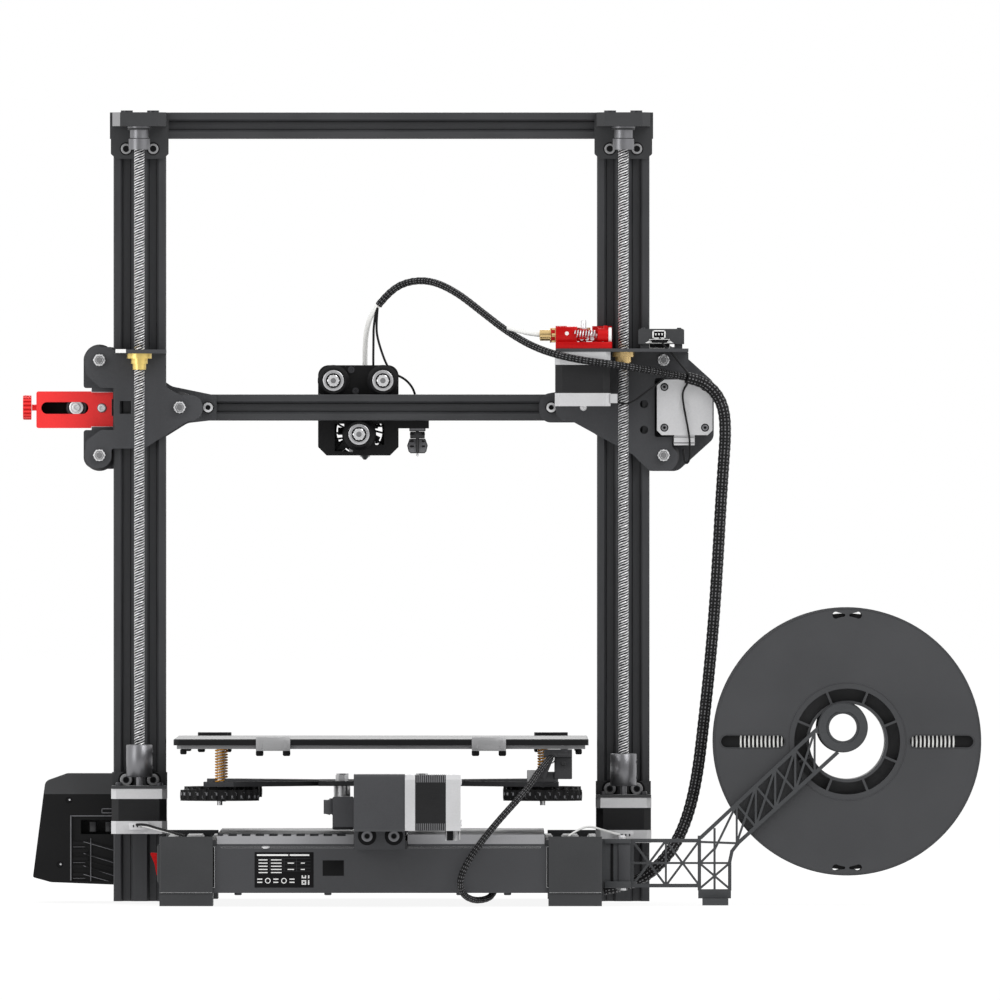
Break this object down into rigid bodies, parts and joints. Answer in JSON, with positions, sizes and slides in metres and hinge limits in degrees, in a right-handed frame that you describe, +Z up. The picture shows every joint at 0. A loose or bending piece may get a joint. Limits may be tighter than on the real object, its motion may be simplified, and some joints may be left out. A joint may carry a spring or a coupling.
{
  "type": "fdm printer",
  "caption": "Desktop filament printer: portal of slotted bars over a sliding heated bed, belt-driven head on a lifting beam, twin lead screws, control box and side-mounted spool.",
  "frame": {"origin": "middle of the footprint's bounding box, at the level of the foot soles", "axes": "+Z up, +Y to the rear where the lead screws and motors stand, +X to the side of the control box"},
  "size_m": [0.7292, 0.5572, 0.6043],
  "materials": {
    "black_bar": "satin black anodised",
    "black_steel": "fine black powder coat",
    "black_plastic": "matte moulded black",
    "wheel_plastic": "smooth black",
    "printed_plastic": "fine layered black",
    "motor_case": "cast bells with black laminations",
    "bright_steel": "zinc plated",
    "screw_steel": "rolled bright",
    "brass": "turned",
    "red_metal": "red anodised",
    "bare_aluminium": "milled",
    "belt_rubber": "matte",
    "glass_plate": "dark coated top, polished edge",
    "spring_steel": "yellow enamel",
    "white_tube": "smooth translucent white",
    "cable_sleeve": "braided black",
    "spool_plastic": "smooth dark",
    "board": "plain"
  },
  "bodies": {
    "frame": {"base_rails": "black_bar", "corner_feet": "black_plastic", "base_tray": "black_steel", "base_cover": "black_steel", "electronics": "board", "y_rail": "black_bar", "y_brackets": "black_steel", "y_motor": "motor_case", "y_belt": "belt_rubber", "power_inlet": "black_plastic", "uprights": "black_bar", "top_beam": "black_bar", "screw_brackets": "black_plastic", "z_motors": "motor_case", "frame_screws": "bright_steel", "spool_arm": "printed_plastic", "display_case": "black_plastic", "loom_lower": "cable_sleeve", "bed_cable": "cable_sleeve"},
    "z_gantry": {"x_beam": "black_bar", "gantry_plates": "black_steel", "z_wheels": "wheel_plastic", "gantry_bolts": "bright_steel", "z_nuts": "brass", "gantry_motors": "motor_case", "extruder_body": "red_metal", "filament_sensor": "black_plastic", "x_belt": "belt_rubber", "x_tensioner": "red_metal", "loom_upper": "cable_sleeve", "bowden_tube": "white_tube"},
    "x_carriage": {"carriage_plate": "black_steel", "carriage_bolts": "bright_steel", "hotend": "bare_aluminium", "fan_shroud": "printed_plastic", "probe_body": "black_plastic"},
    "bed": {"bed_carriage": "black_steel", "bed_wheels": "wheel_plastic", "bed_bolts": "bright_steel", "bed_springs": "spring_steel", "bed_plate": "bare_aluminium", "bed_glass": "glass_plate", "bed_clips": "bright_steel", "cable_relief": "black_plastic"},
    "right_lead_screw": {"right_lead_screw": "screw_steel"},
    "left_lead_screw": {"left_lead_screw": "screw_steel"},
    "spool": {"spool": "spool_plastic"},
    "level_knob_1": {"level_knob_1": "black_plastic"},
    "level_knob_2": {"level_knob_2": "black_plastic"},
    "level_knob_3": {"level_knob_3": "black_plastic"},
    "level_knob_4": {"level_knob_4": "black_plastic"},
    "x_tensioner_knob": {"x_tensioner_knob": "red_metal"},
    "display_knob": {"display_knob": "black_plastic"},
    "power_switch": {"power_switch": "black_plastic"},
    "extruder_lever": {"extruder_lever": "red_metal"},
    "x_wheel_1": {"x_wheel_1": "wheel_plastic"},
    "x_wheel_2": {"x_wheel_2": "wheel_plastic"},
    "x_wheel_3": {"x_wheel_3": "wheel_plastic"},
    "hotend_fan": {"hotend_fan": "black_plastic"},
    "probe_pin": {"probe_pin": "bright_steel"}
  },
  "joints": [
    {"name": "z_slide", "type": "slide", "parent": "frame", "child": "z_gantry", "axis": [0, 0, 1], "range_m": [-0.212, 0.108], "deforming": ["loom_lower"]},
    {"name": "x_slide", "type": "slide", "parent": "z_gantry", "child": "x_carriage", "axis": [1, 0, 0], "range_m": [-0.163, 0.137], "deforming": ["loom_upper", "bowden_tube"]},
    {"name": "y_slide", "type": "slide", "parent": "frame", "child": "bed", "axis": [0, 1, 0], "range_m": [-0.15, 0.15], "deforming": ["bed_cable"]},
    {"name": "right_screw_spin", "type": "hinge", "parent": "frame", "child": "right_lead_screw", "pos_m": [0.27505, 0.08872, 0.3], "axis": [0, 0, 1], "continuous": true},
    {"name": "left_screw_spin", "type": "hinge", "parent": "frame", "child": "left_lead_screw", "pos_m": [-0.09345, 0.08872, 0.3], "axis": [0, 0, 1], "continuous": true},
    {"name": "spool_spin", "type": "hinge", "parent": "frame", "child": "spool", "pos_m": [-0.2629, 0.12442, 0.1241], "axis": [0, 1, 0], "continuous": true},
    {"name": "level_turn_1", "type": "hinge", "parent": "bed", "child": "level_knob_1", "pos_m": [0.2135, 0.11793, 0.083], "axis": [0, 0, 1], "range_deg": [-720, 720]},
    {"name": "level_turn_2", "type": "hinge", "parent": "bed", "child": "level_knob_2", "pos_m": [-0.0319, 0.11793, 0.083], "axis": [0, 0, 1], "range_deg": [-720, 720]},
    {"name": "level_turn_3", "type": "hinge", "parent": "bed", "child": "level_knob_3", "pos_m": [0.2135, -0.12707, 0.083], "axis": [0, 0, 1], "range_deg": [-720, 720]},
    {"name": "level_turn_4", "type": "hinge", "parent": "bed", "child": "level_knob_4", "pos_m": [-0.0319, -0.12707, 0.083], "axis": [0, 0, 1], "range_deg": [-720, 720]},
    {"name": "tensioner_turn", "type": "hinge", "parent": "z_gantry", "child": "x_tensioner_knob", "pos_m": [0.3608, 0.03043, 0.3779], "axis": [1, 0, 0], "range_deg": [-1440, 1440]},
    {"name": "display_turn", "type": "hinge", "parent": "frame", "child": "display_knob", "pos_m": [0.3368, -0.04075, 0.06259], "axis": [0, -0.8073, 0.5901], "continuous": true},
    {"name": "switch_rock", "type": "hinge", "parent": "frame", "child": "power_switch", "pos_m": [0.2598, 0.15643, 0.031], "axis": [0, -1, 0], "range_deg": [0, 20]},
    {"name": "lever_turn", "type": "hinge", "parent": "z_gantry", "child": "extruder_lever", "pos_m": [-0.0797, 0.10443, 0.433], "axis": [0, 0, 1], "range_deg": [0, 12], "stiffness_Nm_per_rad": 0.6},
    {"name": "x_wheel_spin_1", "type": "hinge", "parent": "x_carriage", "child": "x_wheel_1", "pos_m": [0.1277, 0.03043, 0.3984], "axis": [0, 1, 0], "continuous": true},
    {"name": "x_wheel_spin_2", "type": "hinge", "parent": "x_carriage", "child": "x_wheel_2", "pos_m": [0.0899, 0.03043, 0.3984], "axis": [0, 1, 0], "continuous": true},
    {"name": "x_wheel_spin_3", "type": "hinge", "parent": "x_carriage", "child": "x_wheel_3", "pos_m": [0.1081, 0.03043, 0.3574], "axis": [0, 1, 0], "continuous": true},
    {"name": "fan_spin", "type": "hinge", "parent": "x_carriage", "child": "hotend_fan", "pos_m": [0.1081, -0.02357, 0.36], "axis": [0, 1, 0], "continuous": true},
    {"name": "probe_drop", "type": "slide", "parent": "x_carriage", "child": "probe_pin", "axis": [0, 0, -1], "range_m": [0, 0.005]}
  ],
  "couplings": [
    {"joint": "right_screw_spin", "follows": "z_slide", "rad_per_m": 785.4},
    {"joint": "left_screw_spin", "follows": "z_slide", "rad_per_m": 785.4},
    {"joint": "x_wheel_spin_1", "follows": "x_slide", "rad_per_m": 95.24},
    {"joint": "x_wheel_spin_2", "follows": "x_slide", "rad_per_m": 95.24},
    {"joint": "x_wheel_spin_3", "follows": "x_slide", "rad_per_m": -95.24}
  ]
}
